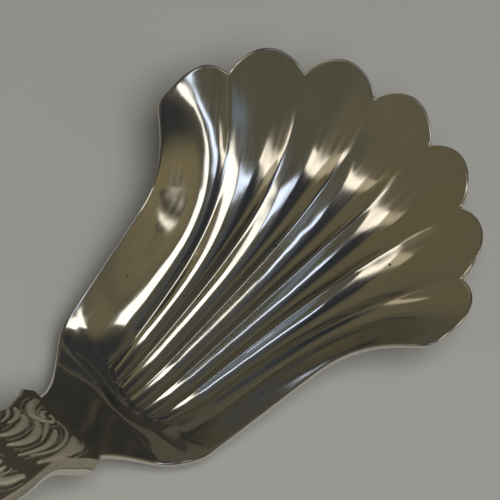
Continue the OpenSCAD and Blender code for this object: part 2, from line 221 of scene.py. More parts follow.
# %% [markdown]
# ## Metals
# The bowl is polished sterling silver. It is old, so the polish is soft: fine streaks run along
# the flutes where a cloth has rubbed for years, shallow dents make the reflections waver, and there
# are a few small pits. Real rubbing marks are finer than the picture can show, so the streaks are
# drawn a third of a millimetre wide. They follow an attribute that the bowl carries, so that they
# bend with the flutes.

# %% Polished silver
SILVER = "#f6f3ec"
SILVER_DULL = "#d8d3c6"
PIT = "#5b5448"
STREAK_WIDTH, STREAK_LENGTH, STREAK_DEPTH = 0.35, 9.0, 0.012
DENT_SIZE, DENT_DEPTH = 5, 0.15
SMUDGE_SIZE = 7
STREAK_SHARE = 0.5
PIT_SPACING = 6.0
PIT_FLOOR, PIT_EDGE = 0.02, 0.04


def metal(name, colour):
    material = bpy.data.materials.new(name)
    material.use_nodes = True
    bsdf = material.node_tree.nodes["Principled BSDF"]
    bsdf.inputs["Metallic"].default_value = 1.0
    bsdf.inputs["Base Color"].default_value = rgba(colour)
    return material, material.node_tree, bsdf


polished, nodes, shader = metal("sterling_silver_polished", SILVER)
flow = add(nodes, "ShaderNodeAttribute", attribute_name="flow").outputs["Vector"]
along_flutes = add(nodes, "ShaderNodeVectorMath", {
    0: flow, 1: (1 / STREAK_LENGTH, 1 / STREAK_WIDTH, 1.0)}, operation="MULTIPLY").outputs[0]
streaks = add(nodes, "ShaderNodeTexNoise", {
    "Vector": along_flutes, "Scale": 1.0, "Detail": 2.0}).outputs[0]
place = add(nodes, "ShaderNodeTexCoord").outputs["Object"]
smudges = add(nodes, "ShaderNodeTexNoise", {
    "Vector": place, "Scale": 1 / (SMUDGE_SIZE * MM), "Detail": 3.0}).outputs[0]
dents = add(nodes, "ShaderNodeTexNoise", {
    "Vector": place, "Scale": 1 / (DENT_SIZE * MM), "Detail": 1.0}).outputs[0]
pits = add(nodes, "ShaderNodeTexVoronoi", {
    "Vector": place, "Scale": 1 / (PIT_SPACING * MM), "Randomness": 1.0}).outputs["Distance"]
pitted = add(nodes, "ShaderNodeMapRange", {
    "Value": pits, "From Min": PIT_FLOOR, "From Max": PIT_EDGE,
    "To Min": 1.0, "To Max": 0.0}).outputs[0]
cloudy = add(nodes, "ShaderNodeMix", {0: STREAK_SHARE, 2: smudges, 3: streaks}).outputs[0]
smudged = add(nodes, "ShaderNodeMix", {
    0: cloudy, 6: rgba(SILVER_DULL), 7: rgba(SILVER)}, data_type="RGBA").outputs[2]
toned = add(nodes, "ShaderNodeMix", {
    0: pitted, 6: smudged, 7: rgba(PIT)}, data_type="RGBA").outputs[2]
nodes.links.new(toned, shader.inputs["Base Color"])
rubbed = add(nodes, "ShaderNodeMapRange", {
    "Value": streaks, "From Min": 0.3, "From Max": 0.75,
    "To Min": 0.07, "To Max": 0.16}).outputs[0]
nodes.links.new(rubbed, shader.inputs["Roughness"])
dented = add(nodes, "ShaderNodeBump", {
    "Strength": 0.55, "Distance": DENT_DEPTH * MM, "Height": dents}).outputs[0]
scratched = add(nodes, "ShaderNodeBump", {
    "Strength": 0.3, "Distance": STREAK_DEPTH * MM, "Height": streaks,
    "Normal": dented}).outputs[0]
nodes.links.new(scratched, shader.inputs["Normal"])
print("made", polished.name)

# %% [markdown]
# The handle's front was struck in a die. Its leaves are frosted by fine wear, which scatters light
# as a pale matt skin does, so the shading is only about half metallic. The ground between them
# is painted dark: partly the tarnish and polish that collect there, partly painted shade in the
# hollows. The piece carries an attribute, recess, which runs from 0 on the tops of the leaves to
# 1 on the ground. The grain of the wear is finer than the picture can show, so it is drawn half a
# millimetre wide.

# %% Struck silver
LEAF = "#9a9380"
# The ground's dark tone: partly tarnish, partly painted shade in the hollows.
TARNISH_AND_SHADE = "#4f4a3d"
GRAIN_SIZE, GRAIN_DEPTH = 0.5, 0.02
struck, nodes, shader = metal("sterling_silver_struck", LEAF)
shader.inputs["Metallic"].default_value = 0.55
recess = add(nodes, "ShaderNodeAttribute", attribute_name="recess").outputs["Fac"]
# Painted shade and tarnish: the colour darkens as recess grows, from the leaf tops to the ground.
shade_and_tarnish = add(nodes, "ShaderNodeMapRange", {
    "Value": recess, "From Min": 0.1, "From Max": 0.9}, interpolation_type="SMOOTHSTEP").outputs[0]
toned = add(nodes, "ShaderNodeMix", {
    0: shade_and_tarnish, 6: rgba(LEAF), 7: rgba(TARNISH_AND_SHADE)}, data_type="RGBA").outputs[2]
nodes.links.new(toned, shader.inputs["Base Color"])
dulled = add(nodes, "ShaderNodeMapRange", {
    "Value": shade_and_tarnish, "To Min": 0.34, "To Max": 0.6}).outputs[0]
nodes.links.new(dulled, shader.inputs["Roughness"])
place = add(nodes, "ShaderNodeTexCoord").outputs["Object"]
grain = add(nodes, "ShaderNodeTexNoise", {
    "Vector": place, "Scale": 1 / (GRAIN_SIZE * MM), "Detail": 3.0}).outputs[0]
grained = add(nodes, "ShaderNodeBump", {
    "Strength": 0.3, "Distance": GRAIN_DEPTH * MM, "Height": grain}).outputs[0]
nodes.links.new(grained, shader.inputs["Normal"])
print("made", struck.name)

# %% [markdown]
# ## The shape rule
# The handle's seam line, and the bowl that grows out of it, follow a few formulas. The helpers
# below use only sums, products, powers and clip, so they work on plain numbers, on numpy arrays
# and on the fields of a node tree alike. Sizes are in millimetres, from the heel of the bowl.

# %% Seam line and blending helpers
MODEL_SHIFT = Vector((8.75, 0, 1.4227))
MOUTH_X, END_X = -11.3, -62.8
NECK_HEIGHT, NECK_SLOPE = 8.85, 0.89
END_HEIGHT, HANDLE_SLOPE = 0.82, 0.38
ARCH_SOFT = 3.0


def ramp(t):
    t = t.clip(0, 1)
    return t * t * (3 - 2 * t)


def mix(a, b, t):
    return a + (b - a) * t


def soft_max(a, b, r):
    return (a + b) / 2 + (((a - b) / 2) ** 2 + r * r) ** 0.5


def soft_min(a, b, r):
    return (a + b) / 2 - (((a - b) / 2) ** 2 + r * r) ** 0.5


def seam_lines(x):
    return NECK_HEIGHT + NECK_SLOPE * (MOUTH_X - x), END_HEIGHT + HANDLE_SLOPE * (x - END_X)


def seam_z(x):
    return soft_min(*seam_lines(x), ARCH_SOFT)


def seam_slope(x):
    neck, handle = seam_lines(x)
    gap = (neck - handle) / 2
    fall = (HANDLE_SLOPE - NECK_SLOPE) / 2
    return fall + gap * (NECK_SLOPE + HANDLE_SLOPE) / 2 / (gap ** 2 + ARCH_SOFT ** 2) ** 0.5


def steep(x):
    return (1 + seam_slope(x) ** 2) ** 0.5


print("seam at the mouth:", round(float(seam_z(np.float64(MOUTH_X))), 2), "mm over the heel")

# %% [markdown]
# ## Bowl
# The bowl is one sheet, raised over a stake into seven flutes that fan out from the heel to a
# scalloped rim. It could be sculpted or lofted through curves, but its shape is a rule, so
# Geometry Nodes bend a flat grid by that rule, and the tree's inputs are the bowl's own sizes.
# A small class lets Python arithmetic write the tree: each sum or product adds one Math node.

# %% Fields: arithmetic that adds nodes


class Field:
    """A number at every point of the grid. Working with it adds Math nodes to Field.tree."""
    tree = None

    def __init__(self, socket):
        self.socket = socket

    def do(self, operation, *others):
        return work(operation, self, *others)

    def __add__(self, other):
        return work("ADD", self, other)

    def __sub__(self, other):
        return work("SUBTRACT", self, other)

    def __rsub__(self, other):
        return work("SUBTRACT", other, self)

    def __mul__(self, other):
        return work("MULTIPLY", self, other)

    def __truediv__(self, other):
        return work("DIVIDE", self, other)

    def __rtruediv__(self, other):
        return work("DIVIDE", other, self)

    def __pow__(self, other):
        return work("MULTIPLY", self, self) if other == 2 else work("POWER", self, other)

    def clip(self, low, high):
        return work("MINIMUM", work("MAXIMUM", self, low), high)

    __radd__, __rmul__ = __add__, __mul__


def work(operation, *values):
    sockets = [v.socket if isinstance(v, Field) else v for v in values]
    node = add(Field.tree, "ShaderNodeMath", dict(enumerate(sockets)), operation=operation)
    return Field(node.outputs[0])


print("fields ready")

# %% [markdown]
# The sizes below are the same as in the part's source. Across the bowl a point is counted in
# flutes from the middle, so ridges lie at halves. Along it, rear rows run up the neck and front
# rows from the heel to the rim.

# %% Bowl: the tree and its inputs
SHELL = dict(
    flutes=7, heel_ridges_w=10.5, ridge_fan=0.165, heel_bow=0.045,
    rim_centre=20, rim_radius=23.4, notch_spread=111.5, lobe_out=1.9,
    crest_angle=63, crest_radius=25.25, wing_angle=72.5, wing_radius=24.2, wing_round=0.35,
    brim_half=12.2, brim_fan=0.19, wing_start=13.5, wing_flare=4.8, wing_power=2.6, wing_soft=0.75,
    sheet=0.8, ridge_rise=9.3, ridge_curl=5.9, heel_sag=1.1,
    flute_heel=0.5, flute_mid=1.0, lobe_lift=0.4,
    brim_height=4.15, brim_rise=0.35, wing_height=12.85, wall_power=1.5,
    dish_height=1.5, dish_rise=0.2, end_wall=2.9, stand_height=0.3,
    neck_half=5.2, neck_thick=1.0, heel_taper=11.5, tongue_half=3.2, tongue_length=4.0)
FLARE_POWER, CURL_POWER, LOBE_POWER, SAG_RUN = 4, 5, 0.8, 0.16
RIDGE_SOFT, WALL_SOFT, BRIM_SOFT = 0.1, 0.04, 0.5
HEEL_LIFT, RISE_LOSS, CURL_GAIN = 0.16, 0.4, 0.14
SIDE_HEEL_X = 1.5
FLUTE_COLUMNS, BRIM_COLUMNS = 24, 16
REAR_ROWS, FRONT_ROWS = 60, 146

shell = bpy.data.node_groups.new("shell_bowl", "GeometryNodeTree")
shell.interface.new_socket("Geometry", in_out="OUTPUT", socket_type="NodeSocketGeometry")
sockets = {name: shell.interface.new_socket(name, in_out="INPUT", socket_type="NodeSocketFloat")
           for name in SHELL}
metal_socket = shell.interface.new_socket("metal", in_out="INPUT",
                                          socket_type="NodeSocketMaterial")
Field.tree = shell
entry = add(shell, "NodeGroupInput")
s = SimpleNamespace(**{name: Field(entry.outputs[name]) for name in SHELL})
side_columns = s.flutes * (FLUTE_COLUMNS / 2) + BRIM_COLUMNS
grid = add(shell, "GeometryNodeMeshGrid", {
    "Size X": 1.0, "Size Y": 2.0, "Vertices X": REAR_ROWS + FRONT_ROWS + 1,
    "Vertices Y": (side_columns * 2 + 1).socket})
spot = add(shell, "ShaderNodeSeparateXYZ",
           {0: add(shell, "GeometryNodeInputPosition").outputs[0]})
row = (Field(spot.outputs["X"]) + 0.5) * (REAR_ROWS + FRONT_ROWS)
across = Field(spot.outputs["Y"])
print("bowl inputs:", len(SHELL))

# %% [markdown]
# First the plan: where each row and column lies, seen from above. Columns and rows crowd
# together towards the edge, so that the rim can be rounded there.

# %% Bowl: plan
RAD = math.pi / 180
COLUMN_CROWDING, ROW_CROWDING = 1.6, 1.3
SLACK = 0.01
FLARE_RUN = 10

tongue_x = MOUTH_X - s.tongue_length
half = s.flutes / 2
last_ridge = half - 1
ridge_step = s.heel_ridges_w / (s.flutes - 2)
fan_step = s.ridge_fan / last_ridge
notch_step = s.notch_spread / (s.flutes - 2)

column = across.do("ABSOLUTE") * side_columns
w = (column / FLUTE_COLUMNS).do("MINIMUM", last_ridge)
over_brim = ((column - half * FLUTE_COLUMNS) / BRIM_COLUMNS).clip(0, 1)
outside = 1 - (1 - over_brim) ** COLUMN_CROWDING
wall = ((column / FLUTE_COLUMNS - last_ridge).clip(0, 1) + outside) / 2
inner = column.do("LESS_THAN", last_ridge * FLUTE_COLUMNS + SLACK)
is_rear = row.do("LESS_THAN", REAR_ROWS - SLACK)
x_side = mix(tongue_x, SIDE_HEEL_X, (row / REAR_ROWS).clip(0, 1))
v = 1 - (1 - ((row - REAR_ROWS) / FRONT_ROWS).clip(0, 1)) ** ROW_CROWDING

swell = ((w - half + 0.5) * math.pi).do("COSINE").do("ABSOLUTE")
rim_angle = notch_step * w * RAD
rim_reach = s.rim_radius + s.lobe_out * swell ** LOBE_POWER
rim_x = s.rim_centre + rim_reach * rim_angle.do("COSINE")
rim_y = rim_reach * rim_angle.do("SINE")
wing_x = s.rim_centre + s.wing_radius * (s.wing_angle * RAD).do("COSINE")
wing_y = s.wing_radius * (s.wing_angle * RAD).do("SINE")
heel_x = s.heel_bow * (w * ridge_step) ** 2


def brim_y(x):
    neck = mix(s.neck_half, s.tongue_half, ramp((MOUTH_X - x) / s.tongue_length))
    plain = mix(neck, s.brim_half + s.brim_fan * x, ramp((x - MOUTH_X) / s.heel_taper))
    flare = s.wing_flare * ((x - s.wing_start) / FLARE_RUN).do("MAXIMUM", 0.0) ** s.wing_power
    return soft_min(plain + flare, wing_y, s.wing_soft)


flute_x = mix(heel_x, rim_x, v)
bend = (rim_y - w * (ridge_step + fan_step * rim_x)) * v ** FLARE_POWER
flute_y = w * (ridge_step + fan_step * flute_x) + bend
side_x = mix(SIDE_HEEL_X, wing_x, v)
print("flute and brim nodes:", len(shell.nodes))

# %% [markdown]
# Past the last ridge, the rows of the side walls run straight to the brim. Towards the front they
# bend to the rim's own line, which goes from the last notch over a crest and round the wing.

# %% Bowl: plan of the side walls and the rear
RIM_POWER = 6
to_crest, past_crest = (wall * 2).clip(0, 1), (wall * 2 - 1).clip(0, 1)
crest_angle = mix(rim_angle, s.crest_angle * RAD, to_crest)
crest_reach = mix(s.rim_radius, s.crest_radius, (to_crest * (90 * RAD)).do("SINE") ** LOBE_POWER)
rounding = s.wing_round * 4 * past_crest * (1 - past_crest)
end_y = brim_y(wing_x)
side_rim_x = (mix(s.rim_centre + crest_reach * crest_angle.do("COSINE"), wing_x, past_crest)
              + rounding * (s.wing_angle * RAD).do("COSINE"))
side_rim_y = (mix(crest_reach * crest_angle.do("SINE"), end_y, past_crest)
              + rounding * (s.wing_angle * RAD).do("SINE"))
at_rim = v ** RIM_POWER * (1 - inner)
front_x = mix(flute_x, side_x, wall) + at_rim * (side_rim_x - mix(rim_x, wing_x, wall))
front_y = mix(flute_y, brim_y(side_x), wall) + at_rim * (side_rim_y - mix(rim_y, end_y, wall))

heel_side_y = brim_y(SIDE_HEEL_X)
rear_share = mix(w * (ridge_step + fan_step * heel_x), heel_side_y, wall) / heel_side_y
heel_line = mix(heel_x, SIDE_HEEL_X, wall)
rear_x = mix(heel_line, tongue_x, (SIDE_HEEL_X - x_side) / (SIDE_HEEL_X - tongue_x))
rear_y = rear_share * brim_y(x_side)
x = mix(front_x, rear_x, is_rear)
y = mix(front_y, rear_y, is_rear)
print("plan nodes:", len(shell.nodes))

# %% [markdown]
# Then the heights. Ridges rise from the heel to the rim, and the flutes are sunk between them,
# with rounded ends at the heel and lifted lobes at the rim. Past the last ridge a smooth wall
# curves up to the side edge. Behind the heel, the scoop runs out into the surface that goes up the
# neck, and a soft bead rings the top of that end wall.

# %% Bowl: heights
FLUTE_END = 1.2
WALL_HOLLOW = 5.4
END_WALL_BOW = 0.3
BEAD_HEIGHT, BEAD_SPREAD = 0.22, 0.17
neck_top = seam_z(x) + s.neck_thick / 2 * steep(x)
brim_z = soft_max(soft_min(s.brim_height + s.brim_rise * x, s.wing_height, BRIM_SOFT),
                  neck_top, BRIM_SOFT)
dish_z = soft_max(s.dish_height + s.dish_rise * x, neck_top, BRIM_SOFT)
lid_z = mix(dish_z, brim_z, (y / brim_y(x)) ** 2)

v_ridge = v * rim_x / (s.rim_centre + s.rim_radius * rim_angle.do("COSINE"))
ridge_z = (HEEL_LIFT * w ** 2 + (s.ridge_rise - RISE_LOSS * w ** 2) * v_ridge
           + (s.ridge_curl + CURL_GAIN * w ** 2) * v_ridge ** CURL_POWER
           - s.heel_sag * (1 - (1 - v_ridge / SAG_RUN).clip(0, 1) ** 2))
from_heel = heel_line - x
begun = mix(1.0, ramp(1 - from_heel / FLUTE_END), is_rear)
depth = mix(mix(s.flute_heel, s.flute_mid, ramp(2 * v)), s.lobe_lift * -1, v ** RIM_POWER) * begun
arch = 1 - ((w - w.do("ROUND")) * 2) ** 2
arch = (((arch ** 2 + RIDGE_SOFT ** 2) ** 0.5 - RIDGE_SOFT)
        / (math.hypot(1, RIDGE_SOFT) - RIDGE_SOFT))
past_ridge = (wall ** 2 + WALL_SOFT ** 2) ** 0.5 - WALL_SOFT
hollow = arch + WALL_HOLLOW * past_ridge * (1 - past_ridge) ** 2
scoop = mix(ridge_z - depth * hollow, brim_z, wall ** s.wall_power)
up_end = from_heel / (s.end_wall + END_WALL_BOW * heel_line)
sunk = 1 - up_end.clip(0, 1) ** 2
bead = BEAD_HEIGHT / (1 + ((up_end - 1) / BEAD_SPREAD) ** 2) ** 2 * (1 - wall ** 2) * is_rear
z = mix(lid_z, scoop, mix(1.0, sunk, is_rear)) + bead
print("nodes with heights:", len(shell.nodes))

# %% [markdown]
# The sheet gets its thickness last. The underside lies straight below the top, further down where
# the sheet is steep. Close to the edge, top and underside run together in a half round, because
# the rim of a spoon is filed and burnished round. The edge is found as the lines of the grid that
# have a face on one side only. Points on the very edge then meet and merge.

# %% Bowl: from sheet to solid
FLUTE_SPAN = 4.0
RIM_STEEPEST = 1.5
TWO_FACES = 1.5

thick = mix(s.neck_thick, s.sheet, ramp((x - MOUTH_X) / -MOUTH_X)) * MM
flow_at = add(shell, "ShaderNodeCombineXYZ", {
    "X": x.socket, "Y": (across * side_columns * (FLUTE_SPAN / FLUTE_COLUMNS)).socket})
flowing = add(shell, "GeometryNodeStoreNamedAttribute", {
    "Geometry": grid.outputs["Mesh"], "Name": "flow", "Value": flow_at.outputs[0]},
    data_type="FLOAT_VECTOR", domain="POINT")
thickened = add(shell, "GeometryNodeStoreNamedAttribute", {
    "Geometry": flowing.outputs[0], "Name": "thick", "Value": thick.socket},
    data_type="FLOAT", domain="POINT")
top_at = add(shell, "ShaderNodeCombineXYZ", {
    "X": ((x + MODEL_SHIFT.x) * MM).socket, "Y": (y * across.do("SIGN") * MM).socket,
    "Z": ((z + MODEL_SHIFT.z) * MM).socket})
bent = add(shell, "GeometryNodeSetPosition", {
    "Geometry": thickened.outputs[0], "Position": top_at.outputs[0]})

faces_beside = Field(add(shell, "GeometryNodeInputMeshEdgeNeighbors").outputs["Face Count"])
edge_line = add(shell, "GeometryNodeSeparateGeometry", {
    "Geometry": bent.outputs[0], "Selection": faces_beside.do("LESS_THAN", TWO_FACES).socket},
    domain="EDGE")
edge_near = add(shell, "GeometryNodeProximity", {0: edge_line.outputs["Selection"]},
                target_element="EDGES")
sheet_thick = Field(add(shell, "GeometryNodeInputNamedAttribute", {"Name": "thick"},
                        data_type="FLOAT").outputs[0])
facing = add(shell, "ShaderNodeSeparateXYZ",
             {0: add(shell, "GeometryNodeInputNormal").outputs[0]})
upright = Field(facing.outputs["Z"])
deep = sheet_thick / upright.do("MAXIMUM", 1 / RIM_STEEPEST)
past_edge = (1 - Field(edge_near.outputs["Distance"]) / (sheet_thick / 2)).clip(0, 1)
drop = deep / 2 * (1 - (1 - past_edge ** 2).clip(0, 1) ** 0.5)
measured = bent
for name, value in (("deep", deep), ("drop", drop)):
    measured = add(shell, "GeometryNodeStoreNamedAttribute", {
        "Geometry": measured.outputs[0], "Name": name, "Value": value.socket},
        data_type="FLOAT", domain="POINT")
deep, drop = (Field(add(shell, "GeometryNodeInputNamedAttribute", {"Name": name},
                        data_type="FLOAT").outputs[0]) for name in ("deep", "drop"))
print("nodes with thickness:", len(shell.nodes))

# %% [markdown]
# The underside is drawn down to a small flat under the heel, as on a spoon that has stood on
# tables for years, and the two faces are joined into one closed solid.

# %% Bowl: join the faces
STAND_DRAW = 1.2
MERGE_GAP = 0.001
upper, under = (add(shell, "GeometryNodeSetPosition", {
    "Geometry": measured.outputs[0],
    "Offset": add(shell, "ShaderNodeCombineXYZ", {"Z": down.socket}).outputs[0]})
    for down in (drop * -1, drop - deep))
skin = add(shell, "ShaderNodeSeparateXYZ", {
    0: add(shell, "GeometryNodeInputPosition").outputs[0]})
above_table = Field(skin.outputs["Z"])
near_table = (s.stand_height * MM - above_table).do("MAXIMUM", 0.0)
stood_at = add(shell, "ShaderNodeCombineXYZ", {
    "X": skin.outputs["X"], "Y": skin.outputs["Y"],
    "Z": (above_table - near_table * STAND_DRAW).do("MAXIMUM", 0.0).socket})
standing = add(shell, "GeometryNodeSetPosition", {
    "Geometry": under.outputs[0], "Position": stood_at.outputs[0]})
turned = add(shell, "GeometryNodeFlipFaces", {"Mesh": standing.outputs[0]})
both = add(shell, "GeometryNodeJoinGeometry")
for face in (upper, turned):
    shell.links.new(face.outputs[0], both.inputs[0])
closed = add(shell, "GeometryNodeMergeByDistance", {
    "Geometry": both.outputs[0], "Distance": MERGE_GAP * MM})
smooth = add(shell, "GeometryNodeSetShadeSmooth", {"Geometry": closed.outputs[0]})
real = add(shell, "GeometryNodeRealizeInstances", {"Geometry": smooth.outputs[0]})
silvered = add(shell, "GeometryNodeSetMaterial", {
    "Geometry": real.outputs[0], "Material": entry.outputs["metal"]})
add(shell, "NodeGroupOutput", {0: silvered.outputs[0]})
print("nodes of the whole bowl:", len(shell.nodes))

# %% [markdown]
# A modifier runs the tree, and its inputs are set by the sockets' identifiers. The result is then
# kept as a plain mesh, every finished piece is tied to the body that it moves with, and the CAD
# node that it stands for is hidden.

# %% Bowl: the finished piece


def from_tree(name, tree, values, mesh=None):
    """Runs a node tree on a mesh, or on nothing, and keeps the result as a plain piece."""
    host = bpy.data.objects.new(name + "_host", mesh or bpy.data.meshes.new(name + "_host"))
    scene.collection.objects.link(host)
    modifier = host.modifiers.new(name, "NODES")
    modifier.node_group = tree
    for identifier, value in values.items():
        modifier[identifier] = value
    result = host.evaluated_get(bpy.context.evaluated_depsgraph_get())
    piece = bpy.data.objects.new(name, bpy.data.meshes.new_from_object(result))
    bpy.data.objects.remove(host)
    scene.collection.objects.link(piece)
    return piece


def install(piece, node):
    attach(piece, "root")
    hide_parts(node)
    print(piece.name, "has", sum(len(p.vertices) - 2 for p in piece.data.polygons), "triangles")


sizes = {sockets[name].identifier: float(value) for name, value in SHELL.items()}
bowl = from_tree("shell_bowl", shell, {**sizes, metal_socket.identifier: polished})
for name in ("thick", "deep", "drop"):
    bowl.data.attributes.remove(bowl.data.attributes[name])
install(bowl, "bowl")

# %% [markdown]
# ## Handle
# The handle is two stampings round a filler, soldered along the seam. Its outline swings out in
# scrolls, ends in a rounded terminal, and has a small spur on each shoulder.

# %% Handle: outline
STEM_HALF, MOUTH_HALF = 4.6, 5.8
SPUR_X, SPUR_OUT, SPUR_FOOT, SPUR_POWER = -12.2, 0.6, 1.0, 1.2
SHOULDER_LENGTH, SCROLL_OUT, SCROLL_LENGTH = 4.0, 0.7, 10.0
TERMINAL_HALF, TERMINAL_BACK, TERMINAL_FLARE = 8.4, 8.5, 15.0


def handle_half(x):
    from_end = x - END_X
    wave = 0.5 - 0.5 * np.cos(2 * np.pi * (SPUR_X - SHOULDER_LENGTH - x) / SCROLL_LENGTH)
    shoulder = ramp(1 - (SPUR_X - x) / SHOULDER_LENGTH)
    stem = mix(STEM_HALF + SCROLL_OUT * wave, MOUTH_HALF, shoulder)
    spur = SPUR_OUT * (1 - abs(x - SPUR_X) / SPUR_FOOT).clip(0, 1) ** SPUR_POWER
    full = mix(stem, TERMINAL_HALF, ramp(1 - (from_end - TERMINAL_BACK) / TERMINAL_FLARE))
    tip = (from_end / TERMINAL_BACK).clip(0, 1)
    return full * (1 - (1 - tip) ** 2) ** 0.5 + spur


print("half width at the spurs:", float(handle_half(np.float64(SPUR_X))), "mm")

# %% [markdown]
# Each half is made of two grids of points that follow the seam, an outer and an inner face. They
# could be lofted from curves, but the relief of the ornament needs a height at every point, and a
# grid gives that. At the mouth, the crown runs down to the plain lip that the neck goes into.

# %% Handle: the faces of a stamping
WALL, EDGE_ROUND, SEAM_HALF = 0.5, 0.35, 0.15
LIP_LENGTH = 2.0
EDGE_TURNS = (20, 45, 70)
WALL_STEPS = (0, 0.5, 1)
EDGE_POINTS = len(EDGE_TURNS) + len(WALL_STEPS)
LEAST_HALF, LEAST_ROUND = 0.03, 0.05


def on_seam(x, y, h):
    """Points at station x, y from the middle and h from the seam, square to it."""
    x, y, h = np.broadcast_arrays(x, y, h)
    lean, long = seam_slope(x), steep(x)
    points = np.stack([x - h * lean / long, y, seam_z(x) + h / long], axis=-1)
    return (points + np.array(MODEL_SHIFT)) * MM


def lip(x):
    return ramp((MOUTH_X - x) / LIP_LENGTH)


def stamping_grid(x, columns, side, up, crown, inset=0.0, relief=0.0):
    """One face of a stamping: a wall on each side, a rounded edge, and the crown between."""
    x = x.clip(END_X + inset, MOUTH_X)[:, None]
    y = (handle_half(x) - inset).clip(LEAST_HALF, None)
    r = np.minimum(max(EDGE_ROUND - inset, LEAST_ROUND), y / 2)
    up = up - inset
    turn = np.radians(EDGE_TURNS)
    wall_h = SEAM_HALF + (up - r - SEAM_HALF) * np.array(WALL_STEPS)
    edge_y = np.hstack([np.repeat(y, len(WALL_STEPS), axis=1), y - r + r * np.cos(turn)])
    edge_h = np.hstack([wall_h, up - r + r * np.sin(turn)])
    u = np.linspace(1, -1, columns)
    crown_h = up + crown * lip(x) * (1 - u * u) + relief
    ys = np.hstack([edge_y, (y - r) * u, -edge_y[:, ::-1]])
    hs = np.hstack([edge_h, crown_h, edge_h[:, ::-1]])
    return on_seam(x, ys, side * hs)


print("points of one edge:", EDGE_POINTS)

# %% [markdown]
# Two such grids are closed to a solid by a strip of faces round their edges. Normals are worked
# out again afterwards, because a mirrored grid is inside out.

# %% Handle: a solid between two faces
SHARP_ANGLE = math.radians(50)


def solid_between(name, outer, inner, material):
    """A closed mesh between two grids of points with the same rows and columns."""
    rows, cols = outer.shape[:2]
    number = np.arange(rows * cols).reshape(rows, cols)
    ring = np.concatenate([number[0], number[1:, -1], number[-1, -2::-1], number[-2:0:-1, 0]])
    quads = np.stack([number[:-1, :-1], number[1:, :-1], number[1:, 1:], number[:-1, 1:]], -1)
    quads = quads.reshape(-1, 4)
    rim = np.stack([ring, np.roll(ring, -1)], -1)
    rim = np.hstack([rim, rim[:, ::-1] + rows * cols])
    faces = np.vstack([quads, quads[:, ::-1] + rows * cols, rim])
    points = np.vstack([outer.reshape(-1, 3), inner.reshape(-1, 3)])
    mesh = bpy.data.meshes.new(name)
    mesh.from_pydata(points.tolist(), [], faces.tolist())
    mesh.polygons.foreach_set("use_smooth", [True] * len(mesh.polygons))
    mesh.materials.append(material)
    mesh.update()
    shape = bmesh.new()
    shape.from_mesh(mesh)
    bmesh.ops.recalc_face_normals(shape, faces=shape.faces)
    shape.to_mesh(mesh)
    shape.free()
    mesh.set_sharp_from_angle(angle=SHARP_ANGLE)
    piece = bpy.data.objects.new(name, mesh)
    scene.collection.objects.link(piece)
    return piece


print("edges sharper than", round(math.degrees(SHARP_ANGLE)), "degrees stay sharp")

# %% [markdown]
# The ornament is a flowing leaf scroll. In the die it is a set of strokes, each a rounded ridge
# that swells and tapers, so it is drawn the same way. A stroke has a height, and a few points
# with their half widths. The scroll is repeated along the handle, turned over each time, and ends
# in a fan of petals with a curl on each side.

# %% Handle: strokes of the scroll ornament
SCROLL = (
    (0.50, ((-12.15, 4.05, .26), (-12.7, 3.88, .36), (-13.4, 3.6, .42), (-14.05, 3.05, .44),
            (-14.5, 2.35, .42), (-14.5, 1.65, .36), (-14.25, 1.1, .28), (-13.9, .65, .24),
            (-13.5, .38, .22), (-13.05, .46, .22), (-12.75, .85, .2), (-12.72, 1.3, .16))),
    (0.50, ((-12.75, 2.05, .14), (-13.2, 2.0, .22), (-13.6, 1.7, .25), (-13.75, 1.3, .2))),
    (0.30, ((-12.35, 2.65, .10), (-12.9, 2.75, .12), (-13.5, 2.5, .12), (-13.95, 1.95, .1),
            (-14.0, 1.4, .08))),
    (0.40, ((-12.75, .15, .12), (-12.5, -.3, .15), (-12.6, -1.0, .17), (-13.05, -1.8, .18),
            (-13.8, -2.45, .19), (-14.8, -2.95, .19), (-16, -3.1, .18), (-17.3, -2.95, .15),
            (-18.6, -2.55, .1))),
    (0.45, ((-14.05, .35, .22), (-14.5, -.1, .26), (-15.1, -.6, .24), (-15.7, -1.1, .18),
            (-16.3, -1.45, .1))),
    (0.48, ((-14.0, -.95, .22), (-14.5, -1.45, .32), (-15.3, -1.95, .32), (-16.4, -2.3, .28),
            (-17.6, -2.3, .22), (-18.8, -2.1, .16), (-19.6, -1.85, .08))),
    (0.50, ((-15.0, .95, .22), (-15.25, .4, .34), (-15.9, -.2, .42), (-16.8, -.65, .42),
            (-17.8, -.75, .36), (-18.8, -.5, .26), (-19.6, -.1, .14))),
    (0.50, ((-15.5, 2.5, .25), (-15.8, 1.9, .38), (-16.5, 1.4, .44), (-17.5, 1.1, .4),
            (-18.6, 1.1, .3), (-19.4, 1.4, .18))),
    (0.45, ((-15.4, 3.9, .2), (-15.6, 3.3, .28), (-16.1, 2.8, .28), (-16.8, 2.5, .22),
            (-17.6, 2.4, .12))),
    (0.40, ((-16.2, 4.2, .16), (-16.6, 3.6, .2), (-17.2, 3.2, .18), (-18, 3.0, .1))),
    (0.48, ((-12.5, -2.5, .28), (-12.9, -3.0, .5), (-13.6, -3.5, .54), (-14.6, -3.85, .5),
            (-15.8, -4.0, .42), (-17.2, -3.95, .3), (-18.4, -3.7, .18))),
    (0.42, ((-12.35, -3.65, .24), (-12.8, -3.9, .34), (-13.6, -4.15, .3), (-14.8, -4.35, .22))),
    (0.40, ((-20.7, -4.2, .3), (-20.9, -4.1, .28))),
)
CURL = ((-39.5, 1.2, .2), (-41.2, 2.6, .4), (-43.2, 3.6, .5), (-44.9, 2.9, .45),
        (-44.8, 1.7, .35), (-43.6, 1.6, .3))
SCROLL_TURNS, SCROLL_REPEAT = 3, 8.6
PETALS, PETAL_FAN = 9, 112
PETAL_SHORT, PETAL_GAIN = 6.4, 8.2
HUB_X, HUB_HALF, HUB_BOSS = -46.0, 0.4, 1.1
PETAL_HEIGHT, HUB_HEIGHT = 0.5, 0.6


